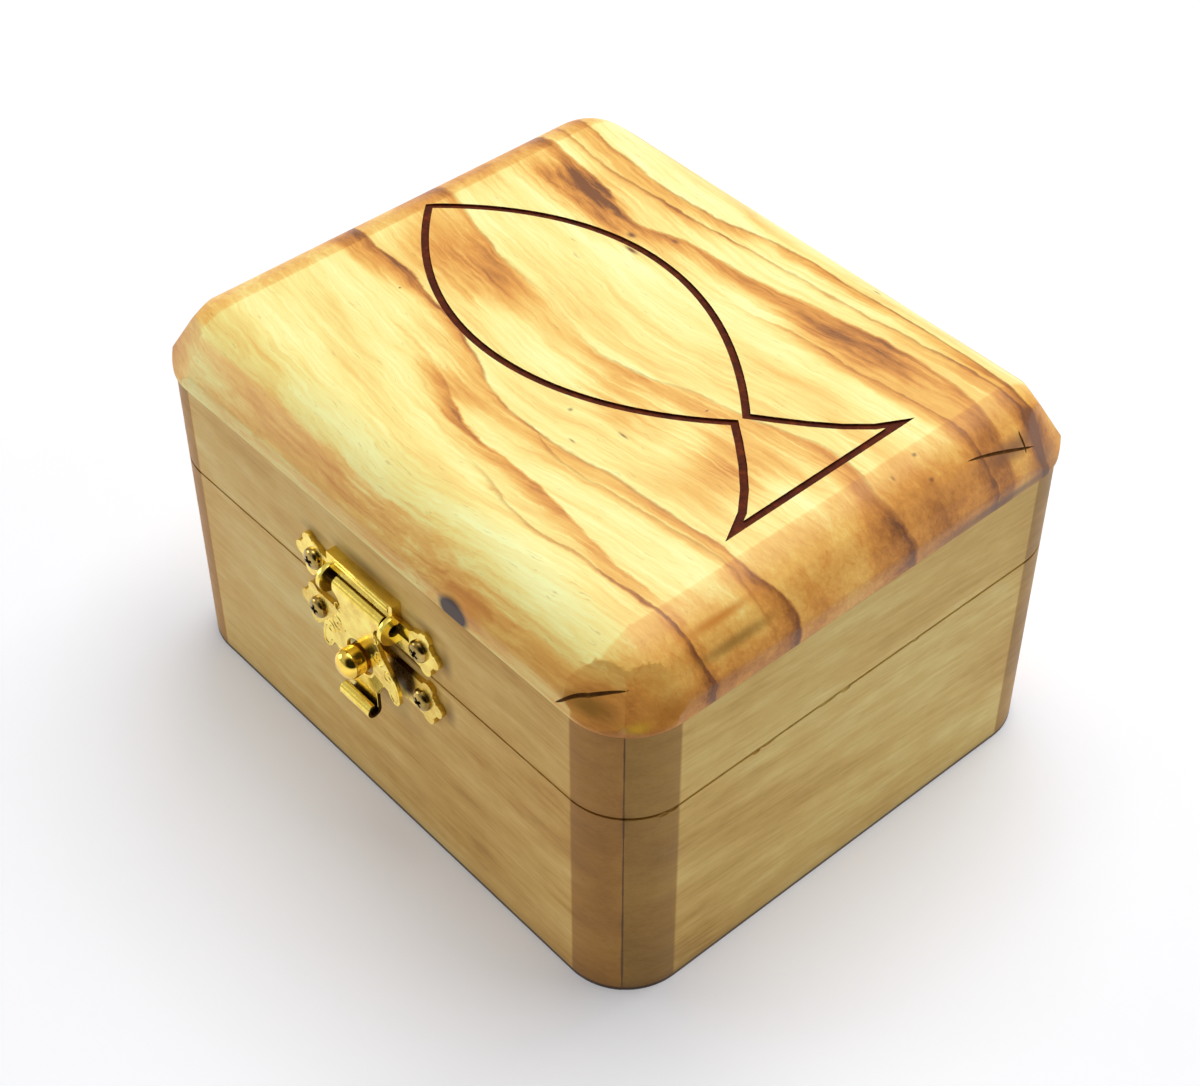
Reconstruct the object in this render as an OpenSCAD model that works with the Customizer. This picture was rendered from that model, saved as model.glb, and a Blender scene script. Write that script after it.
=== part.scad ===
// Small olive wood keepsake box made closed and then sawn into a base and a lid.
// Mitred base boards, mitred lid strips, a thick bevelled top, a let-in bottom panel,
// two little butt hinges on the back and a snap hasp with a folding flap on the front.
// Millimetres. The origin is the middle of the footprint on the resting plane.
// The front with the hasp faces -Y, the right end faces +X and up is +Z.

/* [Box] */
// outside width, left to right
box_w = 75; // [60:0.5:120]
// outside depth, front to back
box_d = 63; // [50:0.5:100]
// height of the closed box
box_h = 46; // [40:0.5:70]
// height of the saw cut between base and lid
seam_h = 27; // [22:0.5:40]
// width left by the saw cut
seam_gap = 0.3; // [0.3:0.05:0.8]
// thickness of the mitred boards
wall_t = 6; // [4.5:0.25:8]
// radius of the sanded upright corners
corner_r = 7.3; // [3:0.1:10]

/* [Top panel] */
// thickness of the top panel
top_t = 7.3; // [5:0.1:10]
// how far the bevel reaches in from the edge
bevel_in = 7.2; // [4:0.1:10]
// height of the upright lip under the bevel
lip_h = 2; // [0.5:0.1:4]
// how much the bevel bulges from its chord
bevel_bulge = 1.2; // [0.4:0.1:2]
// how far the top panel stands past the strips
top_over = 0.15; // [0:0.05:0.5]
// how far in from the swept corner each of its two sanded facets starts
facet_in = 0.85; // [0.2:0.05:1.2]
// height above the glue line where a facet starts
facet_up = 1.9; // [1:0.1:3]
// lean of a facet from upright
facet_angle = 31; // [25:1:40]
// how far the two facets of a corner are turned from its diagonal
facet_turn = 22.5; // [15:0.5:27]

/* [Bottom panel] */
// thickness of the bottom panel
panel_t = 3.2; // [2:0.1:5]
// how far the panel is let into the boards
panel_in = 2.5; // [1:0.1:4]
// play between the edge of the panel and its rebate
panel_play = 0.05; // [0:0.01:0.3]

/* [Hinges] */
// distance of a hinge from the middle of the back
hinge_x = 19; // [12:0.5:30]
// length of a hinge along its pin
hinge_w = 14; // [10:0.5:20]
// height of a leaf from the pin line
leaf_h = 8.4; // [6:0.1:12]
// thickness of a leaf
leaf_t = 0.8; // [0.5:0.05:1.2]
// distance of the pin line from the back face
hinge_out = 1.7; // [1.6:0.05:2.5]
// outside radius of a knuckle
knuckle_r = 1.35; // [1:0.05:2]
// radius of the hinge pin
hinge_pin_r = 0.6; // [0.4:0.05:0.9]
// running clearance of the turning knuckle on the pin
hinge_play = 0.05; // [0.02:0.01:0.1]
// gap between neighbouring knuckles
knuckle_gap = 0.3; // [0.2:0.05:0.6]

/* [Hasp] */
// spacing of the two screws of each hasp plate
hasp_pitch = 17.2; // [14:0.2:24]
// height of the upper screws above the saw cut
upper_screw_up = 3.4; // [2.8:0.1:6]
// depth of the lower screws below the saw cut
lower_screw_down = 3.6; // [2.8:0.1:6]
// thickness of the hasp sheet
plate_t = 0.6; // [0.4:0.05:1]
// height of the flap pivot above the saw cut
pivot_up = 3.9; // [3.2:0.1:6]
// distance of the flap pivot from the front face
pivot_out = 1; // [0.95:0.05:2]
// radius of the hollow pivot pin
pivot_pin_r = 0.5; // [0.4:0.02:0.7]
// running clearance of the flap roll on the pivot pin
pivot_play = 0.06; // [0.02:0.01:0.1]
// depth of the stud below the saw cut
stud_down = 3.4; // [2.5:0.1:6]
// radius of the stud
stud_r = 1.8; // [1.2:0.05:2.4]
// how far the stud stands out from the front face
stud_out = 4.5; // [3.5:0.1:6]
// gap between the stud and the edge of the flap hole
stud_gap = 0.35; // [0.3:0.05:0.6]

/* [Screws] */
// radius of a hasp screw head
hasp_head_r = 1.25; // [1:0.05:1.8]
// height of a hasp screw head
hasp_head_h = 0.85; // [0.5:0.05:1.2]
// radius of a hinge screw head
hinge_head_r = 1.15; // [0.9:0.05:1.6]
// height of a hinge screw head
hinge_head_h = 0.6; // [0.4:0.05:1]
// radius of the screw shanks
shank_r = 0.5; // [0.3:0.05:0.8]
// length of the screw shanks in the wood
shank_l = 4.2; // [3:0.1:5.5]
// play between a shank and its pilot hole
shank_play = 0.02; // [0:0.01:0.1]

/* [Hidden] */
$fn = 64;
base_top = seam_h - seam_gap / 2;
lid_low = seam_h + seam_gap / 2;
glue_z = box_h - top_t;
diagonal = 45;
inside_w = box_w - 2 * wall_t;
inside_d = box_d - 2 * wall_t;
// extra length that carries a cut clean through a face
through = 1;

// bevel of the top panel, an arc from the lip to the crease
top_w = box_w + 2 * top_over;
top_d = box_d + 2 * top_over;
arc_rise = top_t - lip_h;
arc_chord = sqrt(bevel_in * bevel_in + arc_rise * arc_rise);
arc_r = (arc_chord * arc_chord / 4 + bevel_bulge * bevel_bulge) / (2 * bevel_bulge);
arc_back = arc_r - bevel_bulge;
arc_in = bevel_in / 2 + arc_back * arc_rise / arc_chord;
arc_up = lip_h + arc_rise / 2 - arc_back * bevel_in / arc_chord;

// hinge parts, measured along the pin and up from it
end_knuckle = 4.4;
mid_knuckle = hinge_w - 2 * end_knuckle - 2 * knuckle_gap;
knuckle_clear = knuckle_r + knuckle_gap;
hinge_screw_x = 4.2;
hinge_screw_z = 5.2;
hinge_pin_end = 0.3;

// hasp parts, measured across the front, up and outwards
upper_screw_z = seam_h + upper_screw_up;
lower_screw_z = seam_h - lower_screw_down;
pivot_z = seam_h + pivot_up;
stud_z = seam_h - stud_down;
ear_r = 2.25;
lobe_r = 0.85;
lobe_reach = 2.15;
lobe_turn = 68;
roll_wall = 0.34;
roll_r = pivot_pin_r + pivot_play + roll_wall;
roll_l = 7.7;
pin_hollow_r = 0.3;
cheek_t = 0.6;
cheek_in = 4.7;
cheek_r = 1.75;
cheek_dish_r = 0.75;
cheek_dish = 0.28;
window_w = 9;
window_low = pivot_z - roll_r - 0.3;
window_top = pivot_z + roll_r + 0.5;
band_h = 1.9;
band_out = 1.15;
tie_h = 1.3;
rib_r = 0.28;
rib_short = 1;
bar_over = 1.2;
keeper_below = 2.1;
keeper_above = 2.3;
sheet_t = 0.5;
sheet_out = pivot_out + roll_r;
sheet_in = sheet_out - sheet_t;
curl_r = 0.9;
curl_wall = 0.4;
curl_l = 4.8;
curl_z = stud_z - 5.9;
curl_out = sheet_in + curl_r;
curl_slot = 0.35;
stud_shank_r = 1;
stud_shank_l = 2;

// Rounded rectangle with true corner arcs.
module rounded_plan(w, d, r) {
  square([w - 2 * r, d], center = true);
  square([w, d - 2 * r], center = true);
  for (sx = [-1, 1], sy = [-1, 1])
    translate([sx * (w / 2 - r), sy * (d / 2 - r)])
      circle(r);
}

// Ring of wall seen from above.
module ring_plan() {
  difference() {
    rounded_plan(box_w, box_d, corner_r);
    square([inside_w, inside_d], center = true);
  }
}

// Front board seen from above, cut to its two mitres.
module long_board_plan() {
  intersection() {
    ring_plan();
    polygon([
      [-box_w / 2, -box_d / 2], [box_w / 2, -box_d / 2],
      [inside_w / 2, -inside_d / 2], [-inside_w / 2, -inside_d / 2]
    ]);
  }
}

// Left board seen from above, cut to its two mitres.
module short_board_plan() {
  intersection() {
    ring_plan();
    polygon([
      [-box_w / 2, -box_d / 2], [-inside_w / 2, -inside_d / 2],
      [-inside_w / 2, inside_d / 2], [-box_w / 2, box_d / 2]
    ]);
  }
}

// Places a drawing on the front face: x across, y up, z outwards.
module on_front() {
  translate([0, -box_d / 2, 0])
    rotate([90, 0, 0])
      children();
}

// Places a drawing on the back face: y up, z outwards, at a distance to the right.
module on_back(right) {
  translate([right, box_d / 2, 0])
    rotate([90, 0, 180])
      children();
}

// Cylinder lying across the face drawings, centred on its length.
module cross_bar(r, l) {
  rotate([0, 90, 0])
    cylinder(r = r, h = l, center = true);
}

// Low domed screw: the underside of the head is on the drawing plane.
module wood_screw(head_r, head_h) {
  ball_r = (head_r * head_r + head_h * head_h) / (2 * head_h);
  intersection() {
    translate([0, 0, head_h - ball_r])
      sphere(ball_r);
    cylinder(r = head_r + through, h = head_h + through);
  }
  translate([0, 0, -shank_l])
    cylinder(r = shank_r, h = shank_l + head_h / 4);
}

// Hole for a shank, from the face into the wood.
module pilot_hole(depth) {
  translate([0, 0, -depth])
    cylinder(r = shank_r + shank_play, h = depth + through);
}

// The two screw places of a hasp plate.
module at_hasp_screws(z) {
  for (side = [-1, 1])
    translate([side * hasp_pitch / 2, z, 0])
      children();
}

// The four screw places of a pair of leaves, above or below the pin line.
module at_hinge_screws(up) {
  for (right = [-1, 1])
    on_back(right * hinge_x)
      for (side = [-1, 1])
        translate([side * hinge_screw_x, seam_h + up * hinge_screw_z, 0])
          children();
}

// Room for the bottom panel in the foot of the boards.
module panel_rebate() {
  translate([0, 0, panel_t / 2 - through / 2])
    cube([inside_w + 2 * panel_in, inside_d + 2 * panel_in, panel_t + through], center = true);
}

module base_front_wall() {
  color("burlywood")
    difference() {
      linear_extrude(base_top)
        long_board_plan();
      panel_rebate();
      on_front() {
        at_hasp_screws(lower_screw_z)
          pilot_hole(shank_l);
        translate([0, stud_z, -stud_shank_l])
          cylinder(r = stud_shank_r + shank_play, h = stud_shank_l + through);
      }
    }
}

module base_back_wall() {
  color("burlywood")
    difference() {
      linear_extrude(base_top)
        mirror([0, 1])
          long_board_plan();
      panel_rebate();
      at_hinge_screws(-1)
        pilot_hole(shank_l);
    }
}

module base_left_wall() {
  color("burlywood")
    difference() {
      linear_extrude(base_top)
        short_board_plan();
      panel_rebate();
    }
}

module base_right_wall() {
  color("burlywood")
    difference() {
      linear_extrude(base_top)
        mirror([1, 0])
          short_board_plan();
      panel_rebate();
    }
}

module bottom_panel() {
  spare = 2 * panel_in - 2 * panel_play;
  color("tan")
    translate([0, 0, panel_t / 2])
      cube([inside_w + spare, inside_d + spare, panel_t], center = true);
}

module lid_front_strip() {
  color("burlywood")
    difference() {
      translate([0, 0, lid_low])
        linear_extrude(glue_z - lid_low)
          long_board_plan();
      on_front()
        at_hasp_screws(upper_screw_z)
          pilot_hole(shank_l);
    }
}

module lid_back_strip() {
  color("burlywood")
    difference() {
      translate([0, 0, lid_low])
        linear_extrude(glue_z - lid_low)
          mirror([0, 1])
            long_board_plan();
      at_hinge_screws(1)
        pilot_hole(shank_l);
    }
}

module lid_left_strip() {
  color("burlywood")
    translate([0, 0, lid_low])
      linear_extrude(glue_z - lid_low)
        short_board_plan();
}

module lid_right_strip() {
  color("burlywood")
    translate([0, 0, lid_low])
      linear_extrude(glue_z - lid_low)
        mirror([1, 0])
          short_board_plan();
}

// Section under the arc of the bevel, drawn from the crease out to the lip.
module bevel_section() {
  intersection() {
    square([bevel_in, top_t]);
    translate([bevel_in - arc_in, arc_up])
      circle(arc_r);
  }
}

// Bar with the bevel along both of its long sides.
module bevelled_bar(w, l) {
  rotate([90, 0, 0])
    linear_extrude(l, center = true) {
      translate([bevel_in - w / 2, 0])
        square([w - 2 * bevel_in, top_t]);
      for (side = [0, 1])
        mirror([side, 0])
          translate([w / 2 - bevel_in, 0])
            bevel_section();
    }
}

// The same bevel swept round one upright corner.
module bevelled_corner() {
  translate([top_w / 2 - bevel_in, top_d / 2 - bevel_in, 0])
    rotate_extrude(angle = 90)
      bevel_section();
}

// Solid that sands the bulge of a swept corner to a flat facet. It is drawn from the corner
// of the flat top, with the distance out across and the height above the glue line up.
module corner_facet(facing) {
  start = bevel_in - facet_in;
  lean = tan(facet_angle);
  reach = box_w / 2;
  rotate([90, 0, facing])
    linear_extrude(2 * reach, center = true)
      polygon([
        [start + lean * (facet_up + through), -through],
        [start + reach, -through],
        [start + reach, top_t + through],
        [start - lean * (top_t + through - facet_up), top_t + through]
      ]);
}

module lid_top_panel() {
  color("wheat")
    translate([0, 0, glue_z])
      difference() {
        union() {
          bevelled_bar(top_w, top_d - 2 * bevel_in);
          rotate([0, 0, 90])
            bevelled_bar(top_d, top_w - 2 * bevel_in);
          for (sx = [0, 1], sy = [0, 1])
            mirror([sx, 0, 0])
              mirror([0, sy, 0])
                bevelled_corner();
        }
        for (sx = [0, 1], sy = [0, 1], side = [-1, 1])
          mirror([sx, 0, 0])
            mirror([0, sy, 0])
              translate([top_w / 2 - bevel_in, top_d / 2 - bevel_in, 0])
                corner_facet(diagonal + side * facet_turn);
      }
}

// Flat part of a leaf with its tabs, drawn up from the pin line. Tabs is a list of
// middle and length along the pin.
module leaf_blank(tabs) {
  difference() {
    union() {
      translate([-hinge_w / 2, knuckle_clear, 0])
        cube([hinge_w, leaf_h - knuckle_clear, leaf_t]);
      for (tab = tabs) {
        translate([tab[0] - tab[1] / 2, seam_gap / 2, 0])
          cube([tab[1], knuckle_clear, leaf_t]);
        translate([tab[0], 0, hinge_out])
          cross_bar(knuckle_r, tab[1]);
      }
    }
    for (side = [-1, 1])
      translate([side * hinge_screw_x, hinge_screw_z, -through])
        cylinder(r = shank_r + shank_play, h = leaf_t + 2 * through);
  }
}

module base_leaf() {
  end_x = (hinge_w - end_knuckle) / 2;
  translate([0, seam_h, 0])
    mirror([0, 1, 0])
      difference() {
        leaf_blank([[-end_x, end_knuckle], [end_x, end_knuckle]]);
        translate([0, 0, hinge_out])
          cross_bar(hinge_pin_r, hinge_w + 2 * through);
      }
}

module lid_leaf() {
  translate([0, seam_h, 0])
    difference() {
      leaf_blank([[0, mid_knuckle]]);
      translate([0, 0, hinge_out])
        cross_bar(hinge_pin_r + hinge_play, hinge_w + 2 * through);
    }
}

module hinge_pin() {
  translate([0, seam_h, hinge_out])
    cross_bar(hinge_pin_r, hinge_w + 2 * hinge_pin_end);
}

module left_hinge_base_leaf() {
  color("gold")
    on_back(-hinge_x)
      base_leaf();
}

module right_hinge_base_leaf() {
  color("gold")
    on_back(hinge_x)
      base_leaf();
}

module left_hinge_lid_leaf() {
  color("gold")
    on_back(-hinge_x)
      lid_leaf();
}

module right_hinge_lid_leaf() {
  color("gold")
    on_back(hinge_x)
      lid_leaf();
}

module left_hinge_pin() {
  color("goldenrod")
    on_back(-hinge_x)
      hinge_pin();
}

module right_hinge_pin() {
  color("goldenrod")
    on_back(hinge_x)
      hinge_pin();
}

module base_hinge_screws() {
  color("goldenrod")
    at_hinge_screws(-1)
      translate([0, 0, leaf_t])
        wood_screw(hinge_head_r, hinge_head_h);
}

module lid_hinge_screws() {
  color("goldenrod")
    at_hinge_screws(1)
      translate([0, 0, leaf_t])
        wood_screw(hinge_head_r, hinge_head_h);
}

// Scalloped ear around a screw place, pointing to the right.
module ear_plan() {
  circle(ear_r);
  for (turn = [-lobe_turn, 0, lobe_turn])
    rotate(turn)
      translate([lobe_reach, 0])
        circle(lobe_r);
}

// Two ears and the bar between them, drawn around the height of the screws.
module ears_plan(low, top) {
  for (side = [0, 1])
    mirror([side, 0])
      translate([hasp_pitch / 2, 0])
        ear_plan();
  translate([-hasp_pitch / 2, low])
    square([hasp_pitch, top - low]);
}

module hasp_plate() {
  band_top = window_top + band_h;
  band_w = 2 * (cheek_in + cheek_t);
  color("gold")
    on_front()
      difference() {
        union() {
          linear_extrude(plate_t)
            difference() {
              union() {
                translate([0, upper_screw_z])
                  ears_plan(window_low - tie_h - upper_screw_z, pivot_z + bar_over - upper_screw_z);
                translate([-band_w / 2, pivot_z])
                  square([band_w, band_top - pivot_z]);
              }
              translate([-window_w / 2, window_low])
                square([window_w, window_top - window_low]);
            }
          linear_extrude(band_out)
            translate([-band_w / 2, window_top])
              square([band_w, band_h]);
          for (rib = [0.3, 0.7])
            translate([0, window_top + rib * band_h, band_out])
              cross_bar(rib_r, band_w - 2 * rib_short);
          for (side = [-1, 1])
            translate([side * (cheek_in + cheek_t / 2), pivot_z, pivot_out]) {
              cross_bar(cheek_r, cheek_t);
              translate([-cheek_t / 2, -cheek_r, -pivot_out])
                cube([cheek_t, 2 * cheek_r, pivot_out]);
            }
        }
        translate([0, pivot_z, pivot_out])
          cross_bar(pivot_pin_r, 2 * (cheek_in + cheek_t + through));
        for (side = [-1, 1])
          translate([side * (cheek_in + cheek_t + through - cheek_dish), pivot_z, pivot_out])
            cross_bar(cheek_dish_r, 2 * through);
        // the cheeks end at the wood
        translate([0, pivot_z, -cheek_r])
          cube([2 * band_w, 4 * cheek_r, 2 * cheek_r], center = true);
        at_hasp_screws(upper_screw_z)
          translate([0, 0, -through])
            cylinder(r = shank_r + shank_play, h = plate_t + 2 * through);
      }
}

module hasp_pivot_pin() {
  pin_l = 2 * (cheek_in + cheek_t - cheek_dish);
  color("goldenrod")
    on_front()
      translate([0, pivot_z, pivot_out])
        difference() {
          cross_bar(pivot_pin_r, pin_l);
          cross_bar(pin_hollow_r, pin_l + 2 * through);
        }
}

module hasp_plate_screws() {
  color("goldenrod")
    on_front()
      at_hasp_screws(upper_screw_z)
        translate([0, 0, plate_t])
          wood_screw(hasp_head_r, hasp_head_h);
}

module keeper_plate() {
  color("gold")
    on_front()
      linear_extrude(plate_t)
        difference() {
          translate([0, lower_screw_z])
            ears_plan(-keeper_below, keeper_above);
          translate([0, stud_z])
            circle(stud_shank_r);
          at_hasp_screws(lower_screw_z)
            circle(shank_r + shank_play);
        }
}

// Domed stud on its shank through the keeper plate, turned from one profile.
module keeper_stud() {
  color("goldenrod")
    on_front()
      translate([0, stud_z, -stud_shank_l])
        rotate_extrude()
          intersection() {
            square([stud_r, stud_shank_l + stud_out]);
            union() {
              square([stud_shank_r, stud_shank_l + plate_t]);
              translate([0, stud_shank_l + plate_t])
                square([stud_r, stud_out - stud_r - plate_t]);
              intersection() {
                translate([0, stud_shank_l + stud_out - stud_r])
                  circle(stud_r);
                translate([0, stud_shank_l + stud_out - stud_r])
                  square(stud_r);
              }
            }
          }
}

module keeper_screws() {
  color("goldenrod")
    on_front()
      at_hasp_screws(lower_screw_z)
        translate([0, 0, plate_t])
          wood_screw(hasp_head_r, hasp_head_h);
}

// Right half of the flap seen from the front, drawn around the middle of the stud.
module half_flap_plan() {
  hole_r = stud_r + stud_gap;
  rise = pivot_z - stud_z;
  polygon([
    [0, rise], [roll_l / 2, rise], [roll_l / 2, rise - 0.5], [3.1, rise - 1.1],
    [2.75, rise - 1.7], [2.85, rise - 2.4], [hole_r + 1.3, rise - 3.5], [hole_r + 2, rise - 4.5],
    [hole_r + 2.9, rise - 5.6], [hole_r + 3.7, 0.7], [hole_r + 4.1, -0.6], [hole_r + 4.2, -1.9],
    [hole_r + 3.9, -2.5], [hole_r + 3.3, -2.7], [hole_r + 2.7, -2.2], [hole_r + 2.3, -1.4],
    [hole_r + 1.8, -1.3], [hole_r + 1.3, -1.9], [curl_l / 2 + 0.4, -2.8], [curl_l / 2, -3.4],
    [curl_l / 2, curl_z - stud_z], [0, curl_z - stud_z]
  ]);
}

module hasp_flap() {
  color("gold")
    on_front()
      difference() {
        union() {
          translate([0, stud_z, sheet_in])
            linear_extrude(sheet_t)
              difference() {
                union() {
                  half_flap_plan();
                  mirror([1, 0])
                    half_flap_plan();
                }
                circle(stud_r + stud_gap);
              }
          translate([0, pivot_z, pivot_out])
            cross_bar(roll_r, roll_l);
          translate([0, curl_z, curl_out])
            cross_bar(curl_r, curl_l);
        }
        translate([0, pivot_z, pivot_out])
          cross_bar(pivot_pin_r + pivot_play, roll_l + 2 * through);
        translate([0, curl_z, curl_out])
          cross_bar(curl_r - curl_wall, curl_l + 2 * through);
        translate([0, curl_z + curl_r, sheet_out + curl_slot / 2])
          cube([curl_l + 2 * through, 2 * curl_r, curl_slot], center = true);
      }
}

base_front_wall();
base_back_wall();
base_left_wall();
base_right_wall();
bottom_panel();
keeper_plate();
keeper_stud();
keeper_screws();
left_hinge_base_leaf();
right_hinge_base_leaf();
left_hinge_pin();
right_hinge_pin();
base_hinge_screws();
lid_top_panel();
lid_front_strip();
lid_back_strip();
lid_left_strip();
lid_right_strip();
hasp_plate();
hasp_pivot_pin();
hasp_plate_screws();
left_hinge_lid_leaf();
right_hinge_lid_leaf();
lid_hinge_screws();
hasp_flap();
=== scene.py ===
# %% [markdown]
# # A small olive wood box with a brass hasp
# The real box is glued up closed, from mitred boards and a thick top, and then sawn into a
# base and a lid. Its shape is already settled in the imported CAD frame, so this lesson is
# about looks: softened edges, an engraved outline, stamped brass and figured olive wood.
# Everything is in metres, and MM turns the sizes a maker thinks in into Blender's.

# %% Load the frame
from math import cos, pi, radians, sin

import bmesh
import bpy
from mathutils import Matrix, Vector
from mathutils.bvhtree import BVHTree
from mathutils.geometry import interpolate_bezier


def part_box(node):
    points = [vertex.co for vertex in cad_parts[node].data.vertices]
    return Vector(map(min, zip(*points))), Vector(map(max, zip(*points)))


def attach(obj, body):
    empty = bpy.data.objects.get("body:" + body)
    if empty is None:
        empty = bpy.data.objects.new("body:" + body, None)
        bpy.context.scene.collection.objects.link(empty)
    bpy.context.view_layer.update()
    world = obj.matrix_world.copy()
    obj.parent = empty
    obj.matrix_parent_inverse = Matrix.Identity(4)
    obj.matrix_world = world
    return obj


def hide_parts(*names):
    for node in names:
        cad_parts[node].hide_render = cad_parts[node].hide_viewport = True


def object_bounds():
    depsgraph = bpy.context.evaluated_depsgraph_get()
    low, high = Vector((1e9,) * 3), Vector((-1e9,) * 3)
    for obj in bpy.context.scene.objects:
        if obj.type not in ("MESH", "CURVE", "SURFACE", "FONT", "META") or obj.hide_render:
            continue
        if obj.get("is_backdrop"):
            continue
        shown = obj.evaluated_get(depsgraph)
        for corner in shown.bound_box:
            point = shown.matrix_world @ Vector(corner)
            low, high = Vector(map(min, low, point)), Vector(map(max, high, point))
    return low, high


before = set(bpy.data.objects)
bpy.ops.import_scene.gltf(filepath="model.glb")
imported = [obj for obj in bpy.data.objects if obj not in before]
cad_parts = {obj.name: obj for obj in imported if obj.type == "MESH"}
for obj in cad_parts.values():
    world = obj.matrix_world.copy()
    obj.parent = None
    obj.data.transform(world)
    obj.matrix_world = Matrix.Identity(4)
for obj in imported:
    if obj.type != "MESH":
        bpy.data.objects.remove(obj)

MM = 0.001
scene = bpy.context.scene
cad_low, cad_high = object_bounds()
print("CAD box in mm:", [round(v / MM, 2) for v in (*cad_low, *cad_high)])

# %% [markdown]
# ## Camera
# A photograph fixes where the camera stood. The place and the three directions below come
# from fitting a pinhole camera to the long edges of the box. A matrix made of those
# directions turns the camera exactly, where dragging it by eye would only come close.

# %% Camera
right = Vector((0.66257, 0.74900, 0.00014)).normalized()
back = Vector((0.53804, -0.47610, 0.69559)).normalized()
up = back.cross(right).normalized()
camera_data = bpy.data.cameras.new("still_camera")
camera_data.sensor_width = 36
camera_data.lens = 69.571
camera_data.clip_start = 0.01
camera = bpy.data.objects.new("still_camera", camera_data)
scene.collection.objects.link(camera)
camera.matrix_world = Matrix.Translation(Vector((136.123, -121.449, 194.808)) * MM) @ Matrix(
    (right, up, back)).transposed().to_4x4()
scene.camera = camera
scene.view_settings.view_transform = "Standard"
print("camera stands", round(camera.location.length / MM), "mm from the foot of the box")

# %% [markdown]
# ## Nodes and colours
# Colours are written as the hex values that a paint shop or a colour picker shows, and one
# function turns them into the linear values that light is added up in. A second fills a
# node's sockets, by name or from the top down, where another node stands for its first
# output. A third small function adds one shader node with its settings and its links.


# %% Colour and node helpers
def linear(code):
    channels = [int(code[i:i + 2], 16) / 255 for i in (1, 3, 5)]
    return (*[c / 12.92 if c <= 0.04045 else ((c + 0.055) / 1.055) ** 2.4 for c in channels], 1.0)


def fill(tree, made, inputs):
    if isinstance(inputs, dict):
        pairs = [(made.inputs[name], value) for name, value in inputs.items()]
    else:
        pairs = zip([socket for socket in made.inputs if socket.enabled], inputs)
    for socket, value in pairs:
        if isinstance(value, bpy.types.Node):
            value = next(output for output in value.outputs if output.enabled)
        if isinstance(value, bpy.types.NodeSocket):
            tree.links.new(value, socket)
        else:
            socket.default_value = linear(value) if isinstance(value, str) else value


def add_node(tree, kind, inputs=(), stops=(), points=(), **settings):
    made = tree.nodes.new("ShaderNode" + kind)
    for name, value in settings.items():
        setattr(made, name, value)
    fill(tree, made, inputs)
    for i, (position, level) in enumerate(stops):
        mark = made.color_ramp.elements[i] if i < 2 else made.color_ramp.elements.new(position)
        mark.position = position
        mark.color = linear(level) if isinstance(level, str) else (level, level, level, 1)
    for i, spot in enumerate(points):
        knots = made.mapping.curves[0].points
        mark = knots[i] if i < 2 else knots.new(*spot)
        mark.location, mark.handle_type = spot, "AUTO"
    if points:
        made.mapping.extend = "HORIZONTAL"
        made.mapping.update()
    return made


def new_material(name):
    """A material, its node tree and its shader, with the place on the object in millimetres."""
    material = bpy.data.materials.new(name)
    material.use_nodes = True
    tree = material.node_tree
    tree.nodes.clear()
    shader = add_node(tree, "BsdfPrincipled")
    add_node(tree, "OutputMaterial", [shader])
    surface = add_node(tree, "TexCoord")
    place = add_node(tree, "VectorMath", [surface.outputs["Object"], 1000.0], operation="SCALE")
    return material, tree, shader, place


print("#808080 as light:", [round(c, 3) for c in linear("#808080")])

# %% [markdown]
# ## Studio
# The box stands on white board under one large soft lamp, with a low one from the left and a
# weak one behind. The white ground comes from the floor's own colour as the camera sees it,
# so it takes no extra light on the wood.

# %% Lamps
centre = (cad_low + cad_high) / 2
for name, spot, size, watts in (
    ("overhead_softbox", (-0.06, 0.17, 0.52), 0.42, 2.35),
    ("left_softbox", (-0.50, -0.36, 0.17), 0.26, 0.80),
    ("right_softbox", (0.42, 0.46, 0.26), 0.34, 0.62),
):
    lamp_data = bpy.data.lights.new(name, "AREA")
    lamp_data.shape = "SQUARE"
    lamp_data.size = size
    lamp_data.energy = watts
    lamp = bpy.data.objects.new(name, lamp_data)
    scene.collection.objects.link(lamp)
    lamp.location = spot
    lamp.rotation_mode = "QUATERNION"
    lamp.rotation_quaternion = (centre - Vector(spot)).to_track_quat("-Z", "Y")
    print(name, watts, "W")

# %% [markdown]
# ## The room in the brass
# Brass shows what it mirrors. So in reflections the sky is bright only overhead, and the side
# of the room behind the photographer is dark, which gives metal its deep brown streaks. The
# camera sees plain white, and diffuse surfaces get a weak even light.

# %% World
world = bpy.data.worlds.new("white_studio")
scene.world = world
world.use_nodes = True
tree = world.node_tree
tree.nodes.clear()
seen = add_node(tree, "LightPath")
way = add_node(tree, "TexCoord").outputs["Generated"]
height = add_node(tree, "SeparateXYZ", [way])
horizon = add_node(tree, "MapRange", [height.outputs["Z"], -0.1, 0.30, 0.45, 0.62])
overhead = add_node(tree, "MapRange", [height.outputs["Z"], 0.72, 0.97, 0.0, 0.5])
sky = add_node(tree, "Math", [horizon, overhead])
to_camera = add_node(tree, "VectorMath", [way, (0.70, -0.52, 0.49)], operation="DOT_PRODUCT")
room = add_node(tree, "MapRange", [to_camera, 0.45, 0.80, 1.0, 0.03],
                interpolation_type="SMOOTHSTEP")
glow = add_node(tree, "Math", [sky, room], operation="MULTIPLY")
soft = add_node(tree, "Background", ["#FFFFFF", 0.30])
mirrored = add_node(tree, "Background", ["#FFFDF8", glow])
white = add_node(tree, "Background", ["#FFFFFF", 1.0])
either = add_node(tree, "MixShader", [seen.outputs["Is Glossy Ray"], soft, mirrored])
either = add_node(tree, "MixShader", [seen.outputs["Is Camera Ray"], either, white])
add_node(tree, "OutputWorld", [either])
print("world:", len(tree.nodes), "nodes")

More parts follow.
